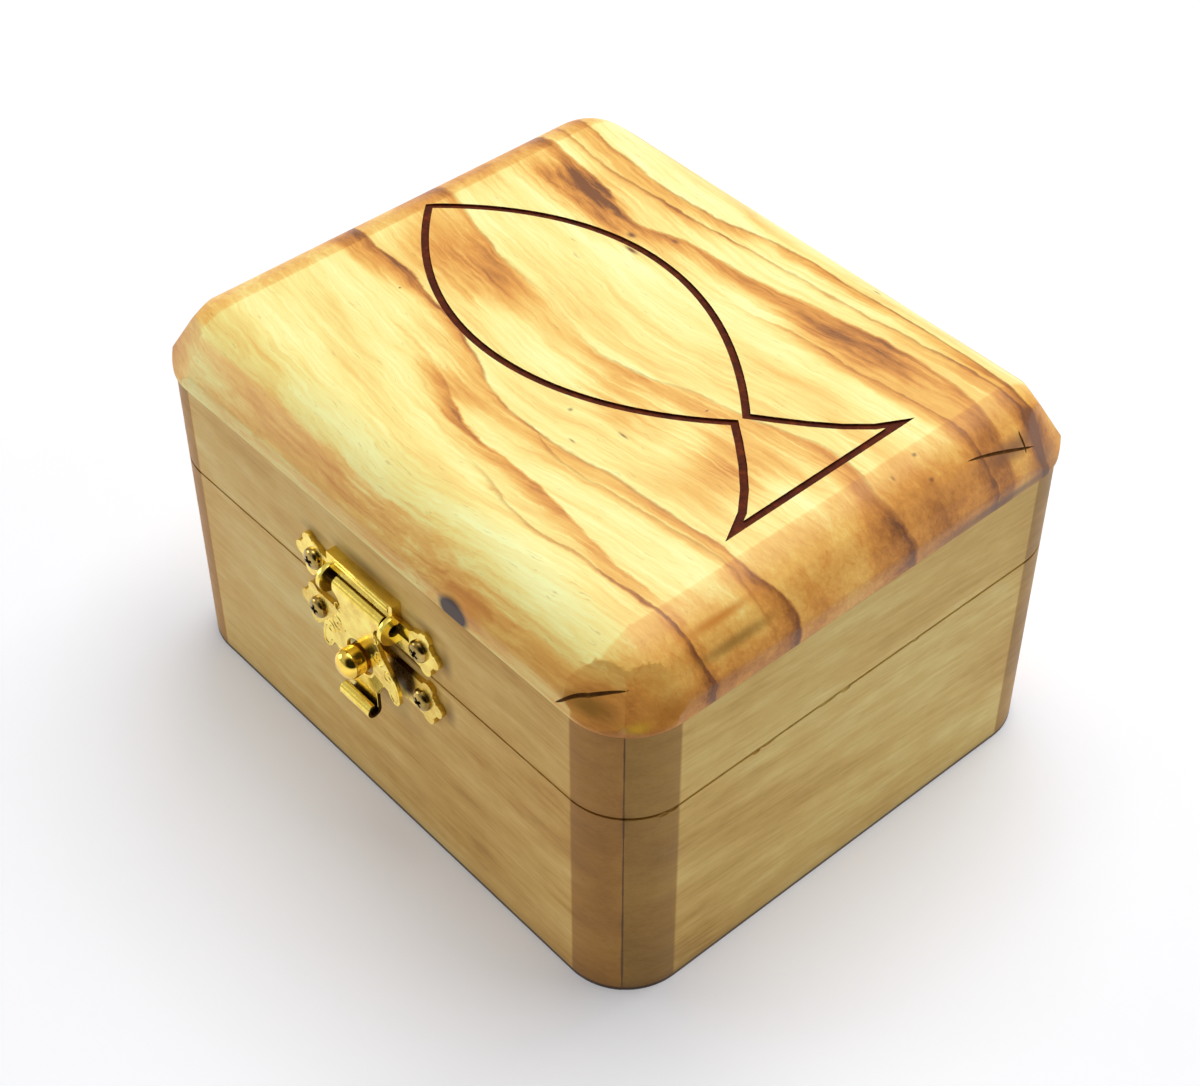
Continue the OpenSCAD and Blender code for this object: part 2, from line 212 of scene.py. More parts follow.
# %% [markdown]
# ## Floor
# The floor is matt white board, so it shows a soft shadow and no highlight. A little light
# of its own, which only the camera and reflections see, brings it up to a clean white.

# %% Floor
floor_white, tree, shader, place = new_material("matt_white_board")
seen = add_node(tree, "LightPath")
far_off = add_node(tree, "VectorMath", [place], operation="LENGTH")
far_white = add_node(tree, "MapRange", [far_off, 180.0, 900.0, 0.17, 0.85],
    interpolation_type="SMOOTHSTEP")
lift = add_node(tree, "Math", [seen.outputs["Is Camera Ray"], far_white], operation="MULTIPLY")
lift = add_node(tree, "Math", [seen.outputs["Is Glossy Ray"], 0.42, lift], operation="MULTIPLY_ADD")
fill(tree, shader, {"Base Color": "#ECEDF2", "Roughness": 0.9, "Specular IOR Level": 0.1,
                    "Emission Color": "#FFFFFF", "Emission Strength": lift})
bm = bmesh.new()
bmesh.ops.create_grid(bm, x_segments=1, y_segments=1, size=6.0)
bmesh.ops.translate(bm, vec=(0, 0, cad_low.z), verts=bm.verts)
mesh = bpy.data.meshes.new("floor")
bm.to_mesh(mesh)
bm.free()
mesh.materials.append(floor_white)
floor = bpy.data.objects.new("floor", mesh)
scene.collection.objects.link(floor)
floor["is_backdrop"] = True
print("floor at", round(cad_low.z / MM, 3), "mm")

# %% [markdown]
# ## From a CAD node to a crafted piece
# A CAD node comes as loose triangles with knife edges. A copy is merged, its flat faces are
# joined, and its edges get a tiny round, because on real wood and brass it is that round
# which catches the light.


# %% Merging and softening
def merged_copy(node):
    bm = bmesh.new()
    bm.from_mesh(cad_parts[node].data)
    bmesh.ops.remove_doubles(bm, verts=bm.verts, dist=0.001 * MM)
    bmesh.ops.dissolve_limit(bm, angle_limit=radians(0.4), verts=bm.verts, edges=bm.edges)
    return bm


def soften(bm, width, segments=2, sharper_than=32):
    edges = [e for e in bm.edges if e.is_manifold and e.calc_face_angle() > radians(sharper_than)]
    bmesh.ops.bevel(bm, geom=edges, offset=width, segments=segments, profile=0.5,
                    affect="EDGES", clamp_overlap=True, material=-1)


# %% [markdown]
# ## Cutting
# Grooves, cracks, chips and screw recesses are real cuts. An exact boolean takes a tool out
# of a body and keeps the material of each, so the faces of a cut can be darker.


# %% Carving
def carve(body, tool, finishes=()):
    """Returns a new bmesh of body cut by tool. Both are used up. Given two finishes, the
    cut faces get the second one."""
    pair = []
    for bm, name in ((body, "carve_body"), (tool, "carve_tool")):
        mesh = bpy.data.meshes.new(name)
        bm.to_mesh(mesh)
        bm.free()
        for finish in finishes:
            mesh.materials.append(finish)
        pair.append(bpy.data.objects.new(name, mesh))
        scene.collection.objects.link(pair[-1])
    cut = pair[0].modifiers.new("carve", "BOOLEAN")
    cut.operation, cut.solver = "DIFFERENCE", "EXACT"
    cut.material_mode, cut.object = "INDEX", pair[1]
    result = bmesh.new()
    result.from_object(pair[0], bpy.context.evaluated_depsgraph_get())
    for made in pair:
        mesh = made.data
        bpy.data.objects.remove(made)
        bpy.data.meshes.remove(mesh)
    return result


# %% [markdown]
# ## Finishing a piece
# Weighted normals keep the wide faces flat beside their small rounds. The CAD node stays
# hidden in place for the physics, and the crafted piece stands for it on the same body.


# %% Finishing
def finish_piece(bm, name, body, materials, replaces=(), crease=42):
    for face in bm.faces:
        face.smooth = True
    for edge in bm.edges:
        edge.smooth = edge.is_manifold and edge.calc_face_angle() < radians(crease)
    mesh = bpy.data.meshes.new(name)
    bm.to_mesh(mesh)
    bm.free()
    for material in materials:
        mesh.materials.append(material)
    piece = bpy.data.objects.new(name, mesh)
    scene.collection.objects.link(piece)
    weighted = piece.modifiers.new("weighted", "WEIGHTED_NORMAL")
    weighted.keep_sharp = True
    if replaces:
        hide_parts(*replaces)
    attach(piece, body)
    print(f"{name}: {len(mesh.polygons)} faces on {body}")
    return piece


# %% [markdown]
# ## Shapes made from scratch
# Some pieces are built from many small ones, turned on a lathe or drawn as wire. These
# helpers join meshes, spin a profile, sweep a wire and find the solids within one node.


# %% Shapes made from scratch
def join(parts):
    """One bmesh out of several, which are used up."""
    whole = bmesh.new()
    for part in parts:
        mesh = bpy.data.meshes.new("part")
        part.to_mesh(mesh)
        part.free()
        whole.from_mesh(mesh)
        bpy.data.meshes.remove(mesh)
    return whole


def lathe(profile, steps, axis="Z"):
    """A solid spun from its profile, pairs of radius and place along the axis, in metres."""
    bm = bmesh.new()
    upright = axis == "Z"
    verts = [bm.verts.new((r, 0, along) if upright else (along, 0, r)) for r, along in profile]
    edges = [bm.edges.new(pair) for pair in zip(verts, verts[1:])]
    bmesh.ops.spin(bm, geom=verts + edges, cent=(0, 0, 0), axis=(0, 0, 1) if upright else (1, 0, 0),
                   angle=2 * pi, steps=steps, use_merge=True)
    bmesh.ops.remove_doubles(bm, verts=bm.verts, dist=0.001 * MM)
    bmesh.ops.recalc_face_normals(bm, faces=bm.faces)
    return bm


def tube(points, radii):
    """A round wire through points in millimetres, thicker and thinner as radii say."""
    data = bpy.data.curves.new("wire", "CURVE")
    data.dimensions = "3D"
    data.bevel_depth, data.bevel_resolution, data.use_fill_caps = 1.0 * MM, 2, True
    spline = data.splines.new("POLY")
    spline.points.add(len(points) - 1)
    for mark, spot, radius in zip(spline.points, points, radii):
        mark.co = (*[v * MM for v in spot], 1)
        mark.radius = radius
    wire = bpy.data.objects.new("wire", data)
    scene.collection.objects.link(wire)
    bpy.context.view_layer.update()
    bm = bmesh.new()
    bm.from_mesh(wire.to_mesh())
    bpy.data.objects.remove(wire)
    bmesh.ops.remove_doubles(bm, verts=bm.verts, dist=0.0005 * MM)
    bmesh.ops.recalc_face_normals(bm, faces=bm.faces)
    return bm


def solid_boxes(node):
    """Lowest and highest corner of each separate solid in a node, from left to right."""
    bm = merged_copy(node)
    waiting, boxes = set(bm.verts), []
    while waiting:
        stack, island = [waiting.pop()], []
        while stack:
            vert = stack.pop()
            island.append(vert.co.copy())
            for edge in vert.link_edges:
                other = edge.other_vert(vert)
                if other in waiting:
                    waiting.remove(other)
                    stack.append(other)
        boxes.append((Vector(map(min, zip(*island))), Vector(map(max, zip(*island)))))
    bm.free()
    return sorted(boxes, key=lambda box: box[0].x)


# %% [markdown]
# ## Olive wood: a pattern in millimetres
# Olive wood is known for wandering dark growth lines on a yellow ground. Each line here is
# a soft curve across the board, with a sharp dark edge on one side and a brown shade that
# fades away on the other, as the wood of one season does. Noise stretched along the grain
# adds streaks, pores and mottling. All of it is solid, so it runs on over every edge.

# %% Growth lines of the top board
# Each line: points along the grain (x, y), strengths along it (x, 0 to 1), width of the
# shade that fades away from it, and how strong the shade and the dark edge are.
growth_lines = [
    ([(-38, 27.5), (-30, 24.3), (-20, 23.2), (-13, 22.7), (-7, 23.4), (0, 25.0), (10, 25.6),
      (20, 26.3), (28, 26.2), (38, 25.4)],
     [(-38, 0.6), (-20, 0.9), (0, 0.9), (20, 1.0), (38, 1.0)], 3.2, 0.52, 0.55),
    ([(-38, 24.0), (-30, 21.4), (-20, 20.8), (-12, 20.9), (-5, 21.5), (5, 22.3), (15, 23.2),
      (25, 24.3), (38, 25.0)],
     [(-38, 0.6), (-20, 0.7), (-12, 0.9), (5, 0.7), (25, 0.9), (38, 1.0)], 1.7, 0.42, 0.60),
    ([(-38, 21.0), (-28, 19.0), (-20, 17.8), (-17, 16.5), (-14, 16.1), (-8, 17.7), (0, 18.4),
      (8, 19.8), (16, 21.2), (28, 21.6), (38, 20.0)],
     [(-38, 0.9), (-22, 1.1), (-12, 1.0), (-4, 0.6), (10, 0.75), (28, 0.6), (38, 0.4)], 6.0, 0.72,
     0.30),
    ([(-38, 12.0), (-20, 12.5), (0, 13.5), (10, 15.3), (20, 16.0), (30, 17.2), (38, 17.5)],
     [(-38, 0.1), (-5, 0.1), (5, 0.4), (12, 0.9), (26, 1.0), (38, 0.5)], 1.8, 0.34, 0.36),
    ([(-38, 5.5), (-30, 4.5), (-22, 2.2), (-16, 0.9), (-8, 0.4), (-1, -1.4), (5, -0.8), (10, 1.0),
      (16, 2.4), (22, 4.6), (27, 5.6), (34, 5.0), (38, 6.2)],
     [(-38, 0.3), (-28, 0.9), (-18, 0.8), (-6, 0.2), (2, 0.5), (12, 0.9), (27, 0.7), (38, 0.9)],
     7.0, 0.50, 0.42),
    ([(-38, -5.0), (-30, -7.0), (-22, -7.6), (-15, -9.0), (-8, -11.0), (-3, -13.0), (0, -13.7),
      (5, -13.8), (10, -13.5), (15, -12.7), (22, -12.2), (28, -11.6), (33, -11.2), (36, -9.8),
      (38, -9.6)],
     [(-38, 1.0), (-20, 1.1), (-8, 0.9), (0, 0.8), (10, 0.6), (28, 0.7), (34, 1.0), (38, 1.1)], 3.6,
     0.62, 0.60),
    ([(-38, -10), (-5, -13), (5, -13.8), (8, -14.9), (12, -14.8), (20, -13.9), (28, -13.0),
      (38, -12.4)],
     [(-38, 0.0), (2, 0.0), (6, 0.5), (14, 0.6), (28, 0.5), (38, 0.2)], 1.6, 0.30, 0.40),
    ([(-38, -12), (-8, -15.2), (-3, -17.6), (2, -18.6), (8, -18.7), (16, -19.3), (24, -20.2),
      (38, -20.0)],
     [(-38, 0.0), (-10, 0.25), (0, 0.9), (10, 1.0), (20, 0.8), (30, 0.4), (38, 0.2)], 3.8, 0.58,
     0.08),
    ([(-38, -20), (0, -21.0), (8, -22.0), (15, -22.8), (22, -22.2), (28, -21.5), (33, -21.2),
      (38, -20.4)],
     [(-38, 0.0), (2, 0.05), (10, 0.5), (22, 0.7), (29, 1.0), (34, 1.4), (38, 1.5)], 1.1, 0.40,
     0.75),
]
# How far the grain as a whole is pushed across the board, along its length.
grain_flow = [(-38, 3.6), (-30, 1.6), (-20, 0.0), (-10, -1.3), (0, -2.4), (10, -1.3), (20, 0.2),
              (30, 1.0), (38, 1.6)]
print(len(growth_lines), "growth lines")

# %% [markdown]
# ## Clouds and flecks
# Between its lines the wood has soft brown clouds, and here and there a resin fleck. Each is
# an ellipsoid: the middle, how far it reaches each way, and how strong it is.

# %% Clouds and flecks of the top board
brown_clouds = [
    ((-22, 15.2, 46), (11, 4.4, 30), 0.60), ((-20, -3.0, 46), (13, 5.2, 30), 0.40),
    ((21.5, -3.8, 46), (7.5, 5.6, 30), 0.46),
    ((9, -5.2, 46), (9, 4.0, 30), 0.34), ((16, 17.6, 46), (15, 3.4, 30), 0.36),
    ((-34, 10, 46), (8, 12, 30), 0.30),
    ((8, -30, 42), (36, 5.5, 5), 0.42), ((-6, -16, 46), (7, 2.4, 30), 0.34),
    ((36, 12, 42), (6, 20, 8), 0.26),
    ((35.5, 25.5, 43), (3.4, 3.0, 5), 0.50), ((35.8, -16.5, 42), (2.2, 2.0, 3), 0.10),
    ((-37, -30, 42), (7, 7, 6), 0.36),
    ((34.5, -29, 41), (6.5, 7.5, 7), 0.26), ((-24, -25, 42), (20, 7, 5), 0.16),
    ((-20, 16, 46), (14, 5, 30), 0.08),
    ((22, 19, 46), (20, 5, 30), 0.16), ((-30, -9, 46), (11, 2.6, 30), 0.28),
    ((37.4, -20, 40), (2.6, 12, 3.4), 0.30),
]
resin_flecks = [
    ((-12.2, 14.3, 46), (0.9, 0.6, 2), 0.7), ((-10.2, 12.5, 46), (1.5, 0.42, 2), 0.75),
    ((-8.3, 17.0, 46), (0.9, 0.4, 2), 0.6),
    ((11.3, -8.0, 46), (1.1, 0.22, 2), 0.6), ((8.6, -12.2, 46), (0.7, 0.2, 2), 0.5),
    ((5.0, -9.3, 46), (0.4, 0.4, 2), 0.5),
    ((31.7, 11.3, 45), (0.4, 0.45, 2), 0.8), ((34.4, 11.0, 44), (0.35, 0.5, 2), 0.7),
    ((11.2, 27.8, 45), (0.8, 0.3, 2), 0.5),
    ((-21.4, -9.9, 46), (0.22, 0.22, 2), 0.8), ((14.0, 0.6, 46), (0.18, 0.35, 2), 0.6),
    ((32.5, 7.5, 45), (0.5, 0.3, 2), 0.5),
]
print(len(brown_clouds), "clouds,", len(resin_flecks), "flecks")

# %% [markdown]
# ## Building blocks of the wood
# Three patterns are used again and again: noise drawn out along the grain, an ellipsoid that
# fades at its edge, and a soft curve that runs along the board. Each takes millimetres.
# Noise is given in cycles per millimetre, so 0.17 makes bands 6 mm wide, 1.1 makes streaks
# of 0.9 mm and 3.0 makes lines of 0.3 mm. The real pores are under 0.1 mm and too fine to
# show, so with 5.5 or 6 cycles they are drawn about twice that wide.


# %% Wood patterns
def streaky(tree, grain, cycles, detail, roughness=0.5):
    """Noise drawn out along the grain, with its cycles per millimetre along X, Y and Z."""
    scaled = add_node(tree, "VectorMath", [grain, cycles], operation="MULTIPLY")
    return add_node(tree, "TexNoise", [scaled, 1.0, detail, roughness])


def fading_spot(tree, place, middle, reach, turn=0.0):
    """1 in the middle of an ellipsoid, falling to 0 at its edge."""
    moved = add_node(tree, "Mapping", [place, [-m for m in middle]])
    turned = add_node(tree, "Mapping", [moved, (0, 0, 0), (0, turn, 0), [1 / r for r in reach]])
    length = add_node(tree, "VectorMath", [turned], operation="LENGTH")
    return add_node(tree, "MapRange", [length, 1.0, 0.0], interpolation_type="SMOOTHSTEP")


def line_along(tree, x, marks, low, high):
    """A soft curve through marks (x, value), with values from low to high."""
    half_run = 40.0
    scaled = add_node(tree, "MapRange", [x, -half_run, half_run])
    spots = [((at + half_run) / (2 * half_run), (value - low) / (high - low)) for at,
             value in marks]
    curve = add_node(tree, "FloatCurve", [1.0, scaled], points=spots)
    return add_node(tree, "MapRange", [curve, 0.0, 1.0, low, high])


# %% [markdown]
# ## Grain of the top board
# The place is first pushed a little by noise, so that nothing runs dead straight, and then
# by the flow of the grain. The growth lines are added up into two sums: a broad brown
# shade, and a thin dark edge.

# %% Growth lines as nodes
olive_top, tree, shader, place = new_material("figured_olive_wood")
axes = add_node(tree, "SeparateXYZ", [place])
wander = streaky(tree, place, (0.16, 0.30, 0.30), 4.0, 0.6)
shift = add_node(tree, "MapRange", [wander, 0.0, 1.0, -0.9, 0.9])
across = add_node(tree, "Math", [axes.outputs["Y"], shift])
flow = line_along(tree, axes.outputs["X"], grain_flow, -5.0, 5.0)
straight = add_node(tree, "Math", [across, flow], operation="SUBTRACT")
grain = add_node(tree, "CombineXYZ", [axes.outputs["X"], straight, axes.outputs["Z"]])
shade_sum, edge_sum = 0.0, 0.0
for marks, strengths, fade, shade_power, edge_power in growth_lines:
    crest = line_along(tree, axes.outputs["X"], marks, -36.0, 36.0)
    power = line_along(tree, axes.outputs["X"], strengths, 0.0, 1.5)
    gap = add_node(tree, "Math", [across, crest], operation="SUBTRACT")
    under = add_node(tree, "MapRange", [gap, -fade, 0.22])
    falling = add_node(tree, "ValToRGB", [under],
        stops=[(0.0, 0.0), (1.0, 0.0), (0.5, 0.32), (0.92, 1.0)])
    falling = add_node(tree, "Math", [falling, power], operation="MULTIPLY")
    shade_sum = add_node(tree, "Math", [falling, shade_power, shade_sum], operation="MULTIPLY_ADD")
    distance = add_node(tree, "Math", [gap], operation="ABSOLUTE")
    thin = add_node(tree, "MapRange", [distance, 0.0, 0.34, edge_power, 0.0],
        interpolation_type="SMOOTHSTEP")
    edge_sum = add_node(tree, "Math", [thin, power, edge_sum], operation="MULTIPLY_ADD")
for middle, reach, strength in brown_clouds:
    cloud = fading_spot(tree, place, middle, reach)
    shade_sum = add_node(tree, "Math", [cloud, strength, shade_sum], operation="MULTIPLY_ADD")
print("growth lines and clouds:", len(tree.nodes), "nodes")

# %% [markdown]
# ## Colour of the top board
# Figured olive wood, sanded and lightly waxed, runs from pale yellow through orange tan to
# dark brown. Streaks tear the broad shades up. End grain drinks in the wax, so surfaces that
# look along the grain are darker, from the very crease of the bevel on.

# %% Colour of the top board
broad = streaky(tree, grain, (0.030, 0.17, 0.17), 5.0, 0.55)
streaks = streaky(tree, grain, (0.05, 1.1, 1.1), 5.0, 0.6)
fine = streaky(tree, grain, (0.10, 3.0, 3.0), 3.0, 0.6)
ragged = streaky(tree, grain, (0.10, 0.45, 0.45), 6.0, 0.65)
torn = add_node(tree, "Math", [add_node(tree, "MapRange", [ragged, 0.32, 0.66, 0.45, 1.2]),
                               add_node(tree, "MapRange", [streaks, 0.3, 0.7, 0.66, 1.34])],
                               operation="MULTIPLY")
facing = add_node(tree, "SeparateXYZ", [add_node(tree, "TexCoord").outputs["Normal"]])
along = add_node(tree, "Math", [facing], operation="ABSOLUTE")
calm = add_node(tree, "MapRange", [along, 0.05, 0.40, 0.0, 0.75])
torn = add_node(tree, "Mix", [calm, torn, 0.85])
shade = add_node(tree, "Math",
    [shade_sum, torn, add_node(tree, "MapRange", [broad, 0.36, 0.74, 0.02, 0.32])],
                 operation="MULTIPLY_ADD")
shade = add_node(tree, "Math",
    [shade, add_node(tree, "MapRange", [streaks, 0.3, 0.7, -0.05, 0.07])])
shade = add_node(tree, "Math", [shade, add_node(tree, "MapRange", [fine, 0.3, 0.7, -0.05, 0.06])])
edges = add_node(tree, "Math",
    [edge_sum, add_node(tree, "MapRange", [ragged, 0.36, 0.62, 0.35, 1.15])],
                 operation="MULTIPLY")
end_grain = add_node(tree, "ValToRGB", [along],
    stops=[(0.03, 0.0), (0.95, 0.34), (0.10, 0.12), (0.35, 0.20), (0.60, 0.26)])
shade = add_node(tree, "Math", [shade, end_grain])
wood = add_node(tree, "ValToRGB", [shade], stops=[
    (0.0, "#FCFAB2"), (1.0, "#784312"), (0.16, "#F7E58C"), (0.34, "#EFBC5C"), (0.54, "#DC963C"),
    (0.78, "#B57024")])
wood = add_node(tree, "Mix", [edges, wood, "#844A20"], data_type="RGBA", clamp_factor=True)
pores = streaky(tree, grain, (0.42, 5.5, 5.5), 2.0)
wood = add_node(tree, "Mix",
                [add_node(tree, "MapRange", [pores, 0.64, 0.78, 0.0, 0.40]), wood, "#A86C36"],
                data_type="RGBA")
print("with its colour:", len(tree.nodes), "nodes")

# %% [markdown]
# ## Knots and finish of the top board
# Last come the small marks: resin flecks, a dark knot on the front lip with an orange glow
# beside it, a purple-brown streak at the right-hand corner, and painted shade along the
# lower edge of the right-hand lip. Wax gives a satin sheen.

# %% Knots and finish of the top board
for middle, reach, strength in resin_flecks:
    fleck = add_node(tree, "Math", [fading_spot(tree, place, middle, reach), strength * 1.5],
        operation="MULTIPLY")
    wood = add_node(tree, "Mix", [fleck, wood, "#7A4420"], data_type="RGBA", clamp_factor=True)
for middle, reach, turn, strength, colour in (
    ((15.6, -31.2, 41.2), (3.6, 3.0, 2.6), 31, 0.7, "#E0923A"),
    ((13.9, -31.65, 39.6), (2.7, 2.4, 2.0), 31, 3.2, "#34160C"),
    ((35.6, 21.3, 43.0), (1.5, 7.0, 1.9), 0, 1.0, "#7E4E28"),
    ((36.8, 25.0, 40.6), (2.0, 4.5, 2.2), 0, 0.7, "#6E4628"),
    ((34.3, -17.2, 44.6), (0.8, 7.0, 1.0), 0, 1.0, "#C87E1A"),
    ((36.3, -16.6, 43.0), (0.9, 7.5, 1.0), 0, 0.8, "#946A20"),
    ((32.2, -30.7, 40.8), (4.8, 2.6, 1.5), 0, 0.9, "#92640F"),
    ((37.0, -25.6, 40.6), (2.8, 5.5, 2.6), 0, 0.6, "#A8680F"),
    ((36.1, -28.6, 39.7), (2.4, 2.2, 0.9), 0, 0.8, "#D2A424"),
    # Painted shade: a dark band along the lower edge of the right-hand lip.
    ((37.4, 19.0, 39.2), (1.6, 17.0, 1.1), 0, 0.8, "#5E432C"),
    ((35.2, -25.5, 42.8), (2.2, 3.0, 1.6), 0, 0.5, "#D08E2C"),
):
    mark = add_node(tree, "Math",
        [fading_spot(tree, place, middle, reach, radians(turn)), strength], operation="MULTIPLY")
    wood = add_node(tree, "Mix", [mark, wood, colour], data_type="RGBA", clamp_factor=True)
satin = add_node(tree, "MapRange", [ragged, 0.0, 1.0, 0.38, 0.54])
relief = add_node(tree, "Math", [pores, streaks])
bump = add_node(tree, "Bump", {"Strength": 0.22, "Distance": 0.05 * MM, "Height": relief})
fill(tree, shader, {"Base Color": wood, "Roughness": satin, "Specular IOR Level": 0.38,
                    "Coat Weight": 0.06, "Coat Roughness": 0.28, "Normal": bump})
print("figured olive wood:", len(tree.nodes), "nodes")

# %% [markdown]
# ## Scorched wood and old cracks
# The outline is cut by heat, which leaves the bottom of the groove a deep red-brown, matt
# and slightly rough. The old cracks are a lighter, dusty brown. Both are materials of their
# own, given only to the faces of the cut.

# %% Scorched groove and crack materials
cut_finishes = []
for name, colours in (("scorched_olive_wood", ("#3E1404", "#5A2006", "#7C340C")),
                      ("dark_crack_in_olive_wood", ("#4A2C0A", "#6A4212", "#8E6020"))):
    finish, tree, shader, place = new_material(name)
    char = add_node(tree, "TexNoise", [place, 0.9, 5.0, 0.65])
    brown = add_node(tree, "ValToRGB", [char],
        stops=[(0.30, colours[0]), (0.75, colours[2]), (0.52, colours[1])])
    bump = add_node(tree, "Bump", {"Strength": 0.5, "Distance": 0.06 * MM, "Height": char})
    fill(tree, shader, {"Base Color": brown, "Roughness": 0.8, "Specular IOR Level": 0.2,
                        "Normal": bump})
    cut_finishes.append(finish)
    print(f"{name}: {len(tree.nodes)} nodes")
scorched, cracked = cut_finishes

# %% [markdown]
# ## Top board
# The top board keeps the CAD shape, a bevel swept round the corners with two flat sanded
# facets on each. The traditional fish outline is a real groove: five Bezier strokes give its
# middle line, the line is pulled up into a ribbon, a Solidify modifier gives the ribbon the
# width of the cut, and a boolean takes it out of the wood.

# %% Engraved top board
groove_w, groove_deep = 0.86 * MM, 0.28 * MM
strokes = [
    ((-30.7, 1.4), (-16.4, 17.9), (1.5, 16.5), (17.15, 2.95), 40),
    ((17.15, 2.95), (20.4, 5.4), (26.6, 9.8), (27.8, 13.5), 6),
    ((27.8, 13.5), (27.9, 6.1), (28.0, -1.5), (28.1, -9.2), 2),
    ((28.1, -9.2), (26.8, -5.6), (20.6, -1.0), (17.05, 1.4), 6),
    ((17.05, 1.4), (2.2, -12.9), (-16.7, -13.6), (-30.7, 1.4), 40),
]
middle_line = []
for *knots, count in strokes:
    start, first, second, end = [Vector((x, y, 0)) * MM for x, y in knots]
    middle_line += interpolate_bezier(start, first, second, end, count)[:-1]
top_z = cad_high.z
ribbon = bmesh.new()
posts = [ribbon.verts.new((*point.xy, top_z - groove_deep)) for point in middle_line]
for a, b in zip(posts, posts[1:] + posts[:1]):
    ribbon.edges.new((a, b))
raised = bmesh.ops.extrude_edge_only(ribbon, edges=ribbon.edges[:])["geom"]
bmesh.ops.translate(ribbon, vec=(0, 0, 2 * groove_deep),
    verts=[g for g in raised if isinstance(g, bmesh.types.BMVert)])
mesh = bpy.data.meshes.new("ribbon")
ribbon.to_mesh(mesh)
ribbon.free()
thick = bpy.data.objects.new("ribbon", mesh)
scene.collection.objects.link(thick)
wide = thick.modifiers.new("width", "SOLIDIFY")
wide.thickness, wide.offset, wide.use_even_offset = groove_w, 0.0, True
groove = bmesh.new()
groove.from_object(thick, bpy.context.evaluated_depsgraph_get())
bpy.data.objects.remove(thick)
bmesh.ops.recalc_face_normals(groove, faces=groove.faces)
for face in groove.faces:
    face.material_index = 1
board = carve(merged_copy("lid_top_panel"), groove, [olive_top, scorched, cracked])
print("scorched faces:", sum(face.material_index == 1 for face in board.faces))

# %% [markdown]
# ## Cracks in two corners
# Old cracks show where the corners were sanded. A path is a few points joined by a soft
# curve and drawn onto the wood with a nearest-point search. A tapered wire along that path
# is then cut out of the board.

# %% Cracks in two corners
skin = BVHTree.FromBMesh(board)
thinnest = 0.03
for thickest, curves in (
    (0.24, [((28.6, -31.65, 39.3), (29.6, -31.5, 40.4), (30.6, -31.2, 41.6), (31.8, -30.9, 42.0)),
            ((31.8, -30.9, 42.0), (32.6, -30.4, 42.5), (33.6, -29.4, 42.9), (34.8, -27.5, 43.0))]),
    (0.19, [((34.8, 15.8, 44.3), (35.1, 18.6, 43.9), (35.9, 21.6, 42.9), (36.3, 24.9, 42.1))]),
    (0.13, [((36.3, 22.6, 42.3), (35.9, 22.9, 43.1), (35.3, 22.7, 43.9), (34.9, 23.1, 44.3))]),
):
    path = []
    for curve in curves:
        path += interpolate_bezier(*[Vector(mark) * MM for mark in curve], 12)[:-1]
    path = [skin.find_nearest(spot)[0] / MM for spot in path]
    swell = [sin(pi * i / (len(path) - 1)) ** 0.6 for i in range(len(path))]
    crack = tube(path, [thinnest + (thickest - thinnest) * share for share in swell])
    for face in crack.faces:
        face.material_index = 2
    board = carve(board, crack, [olive_top, scorched, cracked])
print("crack faces:", sum(face.material_index == 2 for face in board.faces))
finish_piece(board, "top_board", "lid", [olive_top, scorched, cracked],
             ["lid_top_panel"], crease=35)

# %% [markdown]
# ## Side boards
# The boards of the base and the lid were one board before the saw went through, so base and
# lid share one pattern and the grain runs on across the cut. The front and back boards have
# their grain along X and the end boards along Y, which is why the mitred corners change
# direction. The rounded corners show end grain and are darker.


# %% Grain of the side boards
def side_grain(tree, place, turned, slant):
    """Shade from 0 to 1 with its streaks and pores, grain along X, or along Y if turned."""
    grain = add_node(tree, "Mapping",
        {"Vector": place, "Rotation": (0, 0, radians(90) if turned else 0)})
    grain = add_node(tree, "Mapping", {"Vector": grain, "Rotation": (0, radians(slant), 0)})
    broad = add_node(tree, "MapRange",
        [streaky(tree, grain, (0.030, 0.15, 0.15), 4.0, 0.55), 0.32, 0.72, 0.08, 0.60])
    curl = add_node(tree, "MapRange",
        [streaky(tree, grain, (0.22, 0.42, 0.42), 4.0, 0.6), 0.3, 0.7, -0.09, 0.09])
    streaks = streaky(tree, grain, (0.10, 1.2, 1.2), 5.0, 0.6)
    fine = streaky(tree, grain, (0.16, 3.4, 3.4), 3.0, 0.6)
    shade = add_node(tree, "Math", [broad, curl])
    shade = add_node(tree, "Math",
        [shade, add_node(tree, "MapRange", [streaks, 0.3, 0.7, -0.07, 0.08])])
    shade = add_node(tree, "Math",
        [shade, add_node(tree, "MapRange", [fine, 0.3, 0.7, -0.07, 0.08])])
    return shade, streaks, streaky(tree, grain, (0.40, 6.0, 6.0), 2.0)


# %% [markdown]
# ## Corners, mitres and painted shadow
# How deep a place lies inside a rounded corner is the lesser of its two overhangs past the
# straight part, and the mitre is where the two are equal. The glue there is a thin dark
# line. Along the foot of the walls runs a band of painted contact shadow, and the glue line
# under the top board is a dark joint deepened by painted shadow from the board's lip.


# %% Corners, mitres and painted shadow
def corner_depths(tree, place):
    axes = add_node(tree, "SeparateXYZ", [place])
    corner_r, past = 7.3, []
    for axis, half in (("X", 37.5), ("Y", 31.5)):
        size = add_node(tree, "Math", [axes.outputs[axis]], operation="ABSOLUTE")
        past.append(add_node(tree, "Math", [size, half - corner_r], operation="SUBTRACT"))
    corner = add_node(tree, "Math", past, operation="MINIMUM")
    off_mitre = add_node(tree, "Math", past, operation="SUBTRACT")
    return axes, corner, off_mitre


